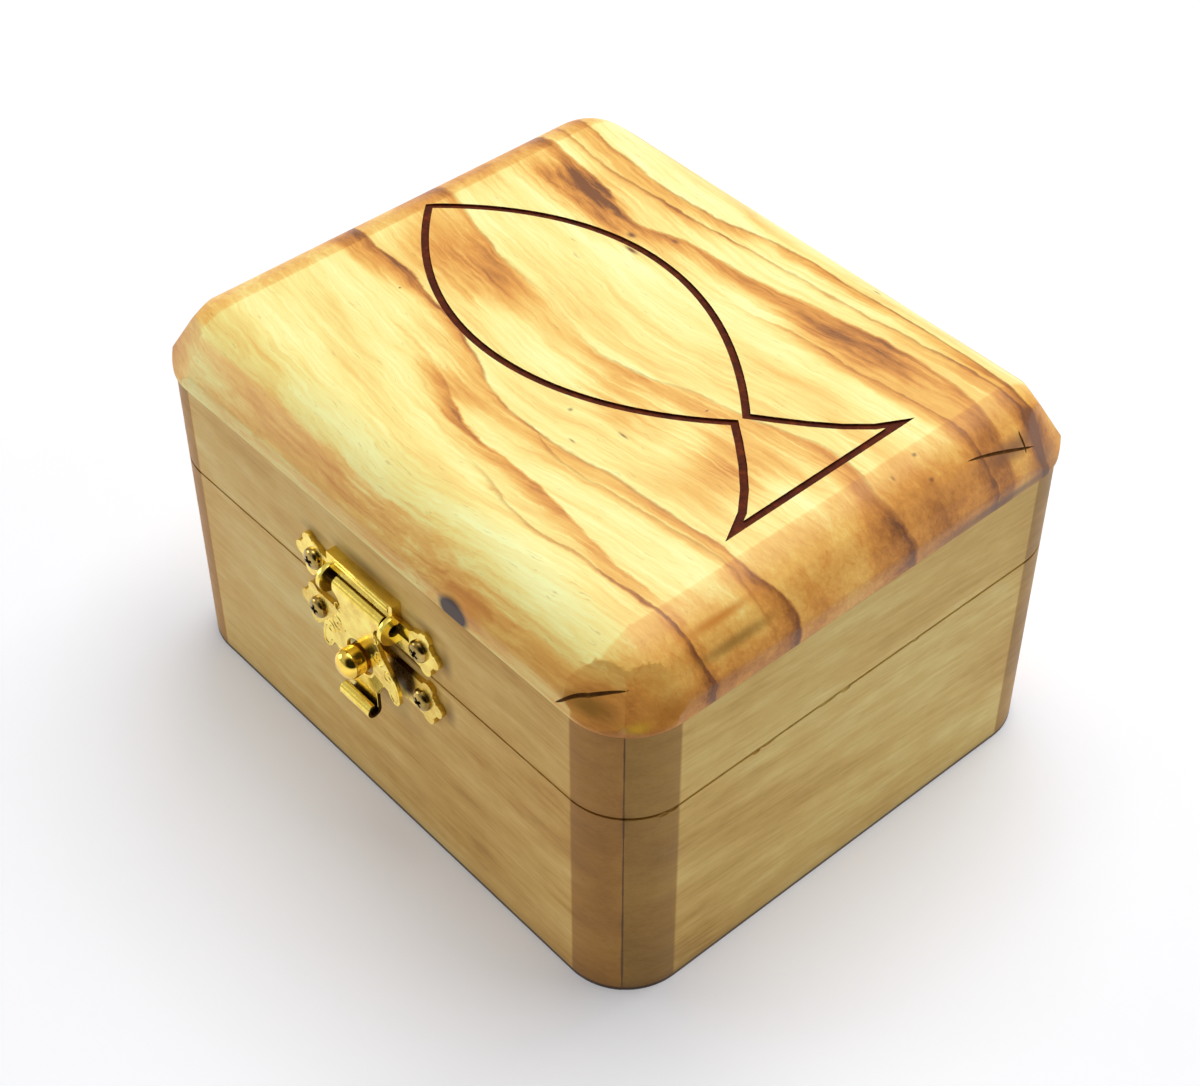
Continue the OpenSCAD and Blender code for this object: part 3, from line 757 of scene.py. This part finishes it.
def glue_lines_and_painted_shadow(tree, place, axes, off_mitre, wood):
    """The wood's colour with a dark mitre line, painted contact shadow at its foot, and a dark glue
    line with painted shadow.
    """
    foot_top, glue_low, glue_high = 1.6, 38.36, 38.58
    uneven = add_node(tree, "TexNoise", [place, 0.35, 4.0])
    off_mitre = add_node(tree, "Math", [off_mitre], operation="ABSOLUTE")
    width = add_node(tree, "MapRange", [uneven, 0.35, 0.65, 0.10, 0.28])
    mitre = add_node(tree, "MapRange", [off_mitre, 0.02, width, 0.85, 0.0])
    wood = add_node(tree, "Mix", [mitre, wood, "#4B2F1C"], data_type="RGBA")
    # Painted contact shadow: the foot of the walls turns dark brown.
    rise = add_node(tree, "MapRange", [axes.outputs["Z"], 0.0, foot_top])
    foot = add_node(tree, "ValToRGB", [rise],
        stops=[(0.0, 0.98), (1.0, 0.0), (0.26, 0.92), (0.34, 0.14)])
    # The glue line under the top board: a dark joint, deepened by painted shadow from the top
    # board's lip.
    glue_seam_and_shadow = add_node(tree, "Math",
        [add_node(tree, "MapRange", [axes.outputs["Z"], glue_low, glue_high, 0.0, 0.85]),
                                   add_node(tree, "MapRange", [uneven, 0.40, 0.55])],
                                   operation="MULTIPLY")
    foot_and_seam_shadow = add_node(tree, "Math", [foot, glue_seam_and_shadow], operation="MAXIMUM")
    return add_node(tree, "Mix", [foot_and_seam_shadow, wood, "#3E2614"], data_type="RGBA")


# %% [markdown]
# ## Colour of the side boards
# Plain olive wood, planed and sanded: honey-coloured long boards, and end boards a little
# greener, each from pale to deep. Round the hasp the front board carries painted shadow in
# dark brown, above the band, beside the ears and beside the flap. Towards the near corner
# all boards get painted shade.

# %% Side board materials
# Painted shadow: dark brown spots on the front board where the hasp's band, ears and flap shade the
# wood.
hasp_painted_shadows = [((0, -31.5, 34.9), (7.5, 2.0, 1.6), 0.62),
               ((-8.6, -31.5, 33.6), (3.2, 2.0, 1.3), 0.42),
               ((12.0, -31.5, 31.0), (1.5, 2.0, 3.0), 0.55),
               ((12.1, -31.5, 24.0), (1.4, 2.0, 2.8), 0.5),
               ((9.0, -31.5, 33.6), (3.5, 2.0, 1.2), 0.5),
               ((7.0, -31.5, 27.0), (3.6, 2.0, 1.0), 0.6)]
side_woods = []
for name, turned, slant, colours, painted_shadows in (
    ("olive_wood_along_front", False, -1.5, ("#EDD488", "#DEB562", "#CB9A44", "#A87426", "#80520C"),
     hasp_painted_shadows),
    ("olive_wood_along_end", True, 5.0, ("#E5CF80", "#D4AF5C", "#C09640", "#9C7226", "#78520E"),
     ()),
):
    material, tree, shader, place = new_material(name)
    shade, streaks, pores = side_grain(tree, place, turned, slant)
    axes, corner, off_mitre = corner_depths(tree, place)
    # Painted shade: the boards darken towards the near corner, the one facing the camera, where
    # less light reaches.
    near_corner_painted_shade = fading_spot(tree, place, (38, -32, 10), (52, 44, 60))
    rounded = add_node(tree, "MapRange", [corner, -0.10, 0.20])
    shade = add_node(tree, "Math",
        [shade, add_node(tree, "Math", [near_corner_painted_shade, 0.17], operation="MULTIPLY")])
    calm = add_node(tree, "Math", [rounded, 0.75], operation="MULTIPLY")
    shade = add_node(tree, "Mix", [calm, shade, 0.50])
    shade = add_node(tree, "Math", [rounded, 0.36, shade], operation="MULTIPLY_ADD")
    pale, light, middling, deep, dark = colours
    wood = add_node(tree, "ValToRGB", [shade], stops=[
        (0.0, pale), (1.0, dark), (0.35, light), (0.62, middling), (0.85, deep)])
    wood = add_node(tree, "Mix",
        [add_node(tree, "MapRange", [pores, 0.62, 0.78, 0.0, 0.38]), wood, dark], data_type="RGBA")
    # Each spot mixes in dark brown as painted shadow.
    for middle, reach, strength in painted_shadows:
        painted_shadow = add_node(tree, "Math", [fading_spot(tree, place, middle, reach), strength],
            operation="MULTIPLY")
        wood = add_node(tree, "Mix", [painted_shadow, wood, "#5C2A06"], data_type="RGBA")
    wood = glue_lines_and_painted_shadow(tree, place, axes, off_mitre, wood)
    satin = add_node(tree, "MapRange", [streaks, 0.0, 1.0, 0.44, 0.60])
    relief = add_node(tree, "Math", [pores, streaks])
    bump = add_node(tree, "Bump", {"Strength": 0.28, "Distance": 0.06 * MM, "Height": relief})
    fill(tree, shader, {"Base Color": wood, "Roughness": satin, "Specular IOR Level": 0.32,
                        "Normal": bump})
    side_woods.append(material)
    print(f"{name}: {len(tree.nodes)} nodes")
long_wood, short_wood = side_woods

# %% [markdown]
# ## Boards with a sawn edge
# A fine saw leaves small chips where it breaks out of the wood. A few flattened spheres are
# taken out of the edge of the right-hand board, at the places where the cut is ragged.

# %% Base and lid boards
chips = [((37.5, -26.4, 26.75), (0.5, 1.0, 0.30)), ((37.5, -25.0, 26.8), (0.4, 0.6, 0.16)),
         ((37.5, -14.2, 26.75), (0.45, 0.5, 0.22)),
         ((37.5, -12.6, 26.8), (0.35, 0.8, 0.12)), ((37.5, -2.0, 26.75), (0.4, 0.7, 0.24)),
         ((37.5, -4.6, 26.8), (0.35, 1.3, 0.14)),
         ((37.5, 8.0, 26.8), (0.3, 0.5, 0.12)), ((35.9, -29.4, 26.78), (0.5, 0.5, 0.22))]
for node, wood_kind in (("base_front_wall", long_wood), ("base_back_wall", long_wood),
    ("base_left_wall", short_wood),
                        ("base_right_wall", short_wood), ("lid_front_strip", long_wood),
                        ("lid_back_strip", long_wood),
                        ("lid_left_strip", short_wood), ("lid_right_strip", short_wood)):
    board = merged_copy(node)
    soften(board, 0.07 * MM)
    if node == "base_right_wall":
        for spot, reach in chips:
            chip = bmesh.new()
            bmesh.ops.create_icosphere(chip, subdivisions=2, radius=1.0)
            bmesh.ops.scale(chip, vec=Vector(reach) * MM, verts=chip.verts)
            bmesh.ops.translate(chip, vec=Vector(spot) * MM, verts=chip.verts)
            board = carve(board, chip)
    name = node.replace("wall", "board").replace("strip", "board")
    finish_piece(board, name, node.split("_")[0], [wood_kind], [node], crease=50)

# %% [markdown]
# ## Bottom panel
# The hidden bottom is a plain thin panel. Its CAD shape is right as it is, so it only gets
# a material: the same family of wood, drier and less figured, so it looks flat and matt.

# %% Bottom panel material
panel_wood, tree, shader, place = new_material("plain_sanded_panel_wood")
grain = streaky(tree, place, (0.03, 0.5, 0.5), 6.0, 0.6)
wood = add_node(tree, "ValToRGB", [grain],
                stops=[(0.25, "#DDC08A"), (0.8, "#AF8148"), (0.5, "#CDA669")])
bump = add_node(tree, "Bump", {"Strength": 0.25, "Distance": 0.06 * MM, "Height": grain})
fill(tree, shader, {"Base Color": wood, "Roughness": 0.62, "Normal": bump})
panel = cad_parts["bottom_panel"]
panel.data.materials.clear()
panel.data.materials.append(panel_wood)
print("bottom panel:", len(tree.nodes), "nodes")

# %% [markdown]
# ## Brass
# The hasp and hinges are thin stamped sheet with a bright brass plating. A metal's colour is
# the colour of its reflection, so the base colour is set against clean brass, and
# the life comes from roughness that varies and a faint unevenness left by the press. Inside
# rolls and recesses the brass is browned where no plating reached, and darkened further with
# painted shade, and under the flap the plate carries painted shade.
# Plated sheet mirrors the room, the polished stud mirrors it sharper, the aged screws are
# duller, and the browned brass with its painted shade is nearly matt. Tarnish comes in clouds
# of about 2 mm, and the dents of the press are about 0.6 mm apart.

# %% Brass materials
metals = []
for name, light, deep, rough, ripple, shaded in (
    ("bright_brass_plated_sheet", "#F5E070", "#D8B446", 0.17, 0.12, ()),
    ("polished_brass", "#F3D462", "#E0B548", 0.08, 0.03, ()),
    ("aged_brass_screws", "#BBA05A", "#6E5528", 0.13, 0.10, ()),
    ("browned_brass_with_painted_shade", "#4A3012", "#201206", 0.42, 0.20, ()),
    # Painted shade: two dark brown clouds on the keeper plate, where the flap shades it.
    ("brass_with_painted_shade_under_the_flap", "#F0D868", "#CFA83E", 0.20, 0.12,
     [((5.6, -32.1, 24.6), (3.0, 2.0, 3.6), 2.2), ((-3.4, -32.1, 24.2), (2.4, 2.0, 3.0), 1.2)]),
):
    metal, tree, shader, place = new_material(name)
    tarnish = add_node(tree, "TexNoise", [place, 0.55, 5.0, 0.6])
    colour = add_node(tree, "ValToRGB", [tarnish], stops=[(0.32, light), (0.72, deep)])
    for middle, reach, strength in shaded:
        cloud = add_node(tree, "Math", [fading_spot(tree, place, middle, reach), strength],
            operation="MULTIPLY")
        colour = add_node(tree, "Mix", [cloud, colour, "#38200C"], data_type="RGBA",
            clamp_factor=True)
    spread = add_node(tree, "MapRange", [tarnish, 0.3, 0.7, rough, rough + 0.12])
    press = add_node(tree, "TexNoise", [place, 1.6, 3.0])
    bump = add_node(tree, "Bump", {"Strength": ripple, "Distance": 0.08 * MM, "Height": press})
    fill(tree, shader, {"Base Color": colour, "Metallic": 1.0, "Roughness": spread, "Normal": bump})
    metals.append(metal)
    print(f"{name}: {len(tree.nodes)} nodes")
plated_sheet, polished_stud, screw_brass, brown_brass_and_shade, shaded_plate = metals

# %% [markdown]
# ## Hinges and the plates of the hasp
# The leaves and plates get rounds of about a tenth of a millimetre, what a press leaves on
# sheet this thin. All keep their CAD shapes but for the raised band of the hasp, which is
# drawn in to half its stand-out and lowered a little.

# %% Sheet metal pieces
wall_y, saw_z = -31.5, 27.0
plate_y, pivot_y, pivot_z = wall_y - 0.6, wall_y - 1.0, saw_z + 3.9
band_half, band_foot, band_bend = 4.6, 32.28, 33.3
band_share, band_drop = 0.50, 0.35
dish_r, cheek_from, cheek_to = 0.78, 4.8, 5.25
for node, body, width in (("left_hinge_base_leaf", "base", 0.10),
    ("right_hinge_base_leaf", "base", 0.10),
                          ("left_hinge_lid_leaf", "lid", 0.10),
                          ("right_hinge_lid_leaf", "lid", 0.10),
                          ("keeper_plate", "base", 0.12), ("hasp_plate", "lid", 0.09)):
    sheet = merged_copy(node)
    if node == "hasp_plate":
        band = [v for v in sheet.verts if abs(v.co.x) < band_half * MM
                and v.co.z > band_foot * MM and v.co.y < (plate_y - 0.02) * MM]
        for vert in band:
            vert.co.y = (plate_y + band_share * (vert.co.y / MM - plate_y)) * MM
            vert.co.z -= band_drop * max(0.0, vert.co.z - band_bend * MM)
        sheet.normal_update()  # soften picks edges by the angle between faces
        print("band:", len(band), "vertices drawn in")
    soften(sheet, width * MM)
    for face in sheet.faces:
        spot = face.calc_center_median() / MM
        off_pivot = ((spot.y - pivot_y) ** 2 + (spot.z - pivot_z) ** 2) ** 0.5
        # The dish round the pivot in each cheek gets the browned brass, darkened with painted
        # shade.
        in_dish = (node == "hasp_plate" and abs(face.normal.x) > 0.9
                   and off_pivot < dish_r and cheek_from < abs(spot.x) < cheek_to)
        face.material_index = int(in_dish)
    finish_piece(sheet, node + "_brass", body,
                 [shaded_plate if node == "keeper_plate" else plated_sheet, brown_brass_and_shade], [node],
                 crease=50)

# %% [markdown]
# ## Pins
# The hinge pins keep their CAD shape. The pivot of the flap is a hollow rivet, spun from a
# profile whose ends open like a funnel, and it is browned brass with painted shade in its bore.

# %% Pins
for node in ("left_hinge_pin", "right_hinge_pin"):
    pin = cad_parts[node]
    pin.data.materials.clear()
    pin.data.materials.append(screw_brass)
low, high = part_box("hasp_pivot_pin")
pin_r, pin_half = (high.z - low.z) / 2, (high.x - low.x) / 2
mouth_r, bore_r, throat = 0.88 * pin_r, 0.6 * pin_r, 0.8 * pin_half
profile = [(pin_r, -pin_half), (pin_r, pin_half), (mouth_r, pin_half), (bore_r, throat),
           (bore_r, -throat), (mouth_r, -pin_half), (pin_r, -pin_half)]
rivet = lathe(profile, 32, "X")
bmesh.ops.translate(rivet, vec=(0, (low.y + high.y) / 2, (low.z + high.z) / 2), verts=rivet.verts)
# The whole rivet is browned brass, darkened with painted shade for its bore.
finish_piece(rivet, "hollow_rivet", "lid", [brown_brass_and_shade], ["hasp_pivot_pin"], crease=40)

# %% [markdown]
# ## Screws
# A little wood screw is a turned shape, so its profile is spun once round its axis. The head
# is a low pan: a superellipse, flatter than a ball and fuller at the rim. Two tapered bars
# then cut the cross recess, and each screw's cross is turned to a different angle, as a hand
# leaves them.


# %% Screw shape
def wood_screw(head_r, head_h, shank_r, shank_l):
    fullness, profile = 2.6, [(0.0, head_h)]
    for i in range(1, 9):
        out = sin(i * pi / 18)
        profile.append((head_r * out, head_h * (1 - out ** fullness) ** (1 / fullness)))
    profile += [(head_r, 0.0), (shank_r, 0.0), (shank_r, -shank_l), (0.0, -shank_l)]
    bm = lathe([(r * MM, z * MM) for r, z in profile], 36)
    slot_l, slot_w = 1.42 * head_r, 0.36 * head_r
    for turn in (0, 90):
        bar = bmesh.new()
        bmesh.ops.create_cube(bar, size=1.0)
        bmesh.ops.scale(bar, vec=Vector((slot_l, slot_w, 1.0)) * MM, verts=bar.verts)
        bmesh.ops.scale(bar, vec=(0.45, 0.7, 1.0), verts=[v for v in bar.verts if v.co.z < 0])
        bmesh.ops.rotate(bar, cent=(0, 0, 0), verts=bar.verts,
                         matrix=Matrix.Rotation(radians(turn), 3, "Z"))
        bmesh.ops.translate(bar, vec=(0, 0, (0.35 * head_h + 0.5) * MM), verts=bar.verts)
        # The faces of the cross recess get the browned brass, darkened with painted shade.
        for face in bar.faces:
            face.material_index = 1
        bm = carve(bm, bar, [screw_brass, brown_brass_and_shade])
    return bm


# %% [markdown]
# ## Screws in their places
# Each node in the frame holds the screws of one row. The boxes of its separate solids say
# where every screw goes, so nothing has to be measured twice.

# %% Screws
shank_r, shank_l = 0.5, 4.2
for node, body, head_r, head_h, low_head, faces_back, turns in (
    ("hasp_plate_screws", "lid", 1.25, 0.85, 0.72, False, (25, 62)),
    ("keeper_screws", "base", 1.25, 0.85, 0.72, False, (8, 38)),
    ("base_hinge_screws", "base", 1.15, 0.6, 0.55, True, (12, 70, 40, 55)),
    ("lid_hinge_screws", "lid", 1.15, 0.6, 0.55, True, (33, 5, 80, 21)),
):
    screws = []
    for (low, high), turn in zip(solid_boxes(node), turns):
        screw = wood_screw(head_r, low_head, shank_r, shank_l)
        spot = (low + high) / 2
        spot.y = high.y - head_h * MM if faces_back else low.y + head_h * MM
        outwards = Matrix.Rotation(radians(-90 if faces_back else 90), 4, "X")
        seat = Matrix.Translation(spot) @ outwards @ Matrix.Rotation(radians(turn), 4, "Z")
        bmesh.ops.transform(screw, verts=screw.verts, matrix=seat)
        screws.append(screw)
    finish_piece(join(screws), node + "_cross", body, [screw_brass, brown_brass_and_shade], [node],
        crease=45)

# %% [markdown]
# ## Stud
# The stud that the flap snaps over is turned and polished. It is spun from a profile with a
# faint waist and a blunt bullet nose, so that a long dark reflection runs up its side.

# %% Stud
low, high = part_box("keeper_stud")
axis_x, axis_z = (low.x + high.x) / 2, (low.z + high.z) / 2
stud_r, stud_out, nose = 1.66, 4.5, 1.25
profile = [(0.0, -2.0), (1.0, -2.0), (1.0, 0.6), (1.72, 0.6), (1.8, 0.75), (1.62, 1.3), (1.60, 1.9),
           (1.66, 2.6)]
for i in range(13):
    angle = i * pi / 24
    profile.append((stud_r * cos(angle) ** 0.85, stud_out - nose + nose * sin(angle)))
stud = lathe([(r * MM, z * MM) for r, z in profile], 64)
outwards = Matrix.Translation((axis_x, wall_y * MM, axis_z)) @ Matrix.Rotation(radians(90), 4, "X")
bmesh.ops.transform(stud, verts=stud.verts, matrix=outwards)
finish_piece(stud, "polished_stud", "base", [polished_stud], ["keeper_stud"],
             crease=50)

# %% [markdown]
# ## Flap
# The flap is the piece with the most stamping on it: scrolls on its shoulders, fine ribs
# that fan out beside the stud and a raised rim round each lobe. Each line is a wire half
# sunk in the sheet, which is how a press raises it.

# %% Lines stamped on the flap
face_y, stud_z = wall_y - 1.9, saw_z - 3.4
spiral_steps, rib_count = 24, 10
lobe_rim = ((5.50, 24.0), (5.92, 23.0), (6.02, 21.9), (5.82, 21.45), (5.42, 21.3), (5.08, 21.7),
            (4.8, 22.35))
stamped = []
for side in (-1, 1):
    for cx, cz, start, turns, radius in ((3.35, 26.1, 200, 1.3, 1.25), (4.75, 24.2, 20, 1.25, 0.95),
        (3.0, 28.6, 250, 0.9, 0.75)):
        spiral = []
        for i in range(spiral_steps + 1):
            r = radius * (1 - 0.8 * i / spiral_steps)
            angle = radians(start) + turns * 2 * pi * i / spiral_steps
            spiral.append((side * (cx + r * cos(angle)), cz + r * sin(angle)))
        stamped.append(spiral)
    stamped.append([(side * x, z) for x, z in lobe_rim])
    for i in range(rib_count):
        angle = radians(-20 - 5.6 * i)
        ends = (2.45, 4.3 - 0.09 * abs(i - 4))
        stamped.append([(side * r * cos(angle), stud_z + r * sin(angle)) for r in ends])
print(len(stamped), "stamped lines")

# %% [markdown]
# ## Flap with its stamping
# The inside of its two rolls is browned brass, where no plating reached, darkened with painted
# shade.

# %% Flap
curl_y, curl_z, line_r = -33.8, 17.7, 0.065
pivot_bore, curl_bore = 0.62, 0.58
flap = merged_copy("hasp_flap")
soften(flap, 0.07 * MM)
# Faces inside the pivot roll and the curl get the browned brass with painted shade.
for face in flap.faces:
    spot = face.calc_center_median() / MM
    for y, z, inner in ((pivot_y, pivot_z, pivot_bore), (curl_y, curl_z, curl_bore)):
        if ((spot.y - y) ** 2 + (spot.z - z) ** 2) ** 0.5 < inner:
            face.material_index = 1
raised = [flap] + [tube([(x, face_y, z) for x, z in line],
    [line_r] * len(line)) for line in stamped]
finish_piece(join(raised), "stamped_flap", "flap", [plated_sheet, brown_brass_and_shade],
             ["hasp_flap"], crease=50)

# %% [markdown]
# ## Measure
# The box of everything shown is printed, to set beside the CAD box printed at the start.

# %% Print the visual box
low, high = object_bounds()
print("visual box in mm:", [round(v / MM, 2) for v in (*low, *high)])
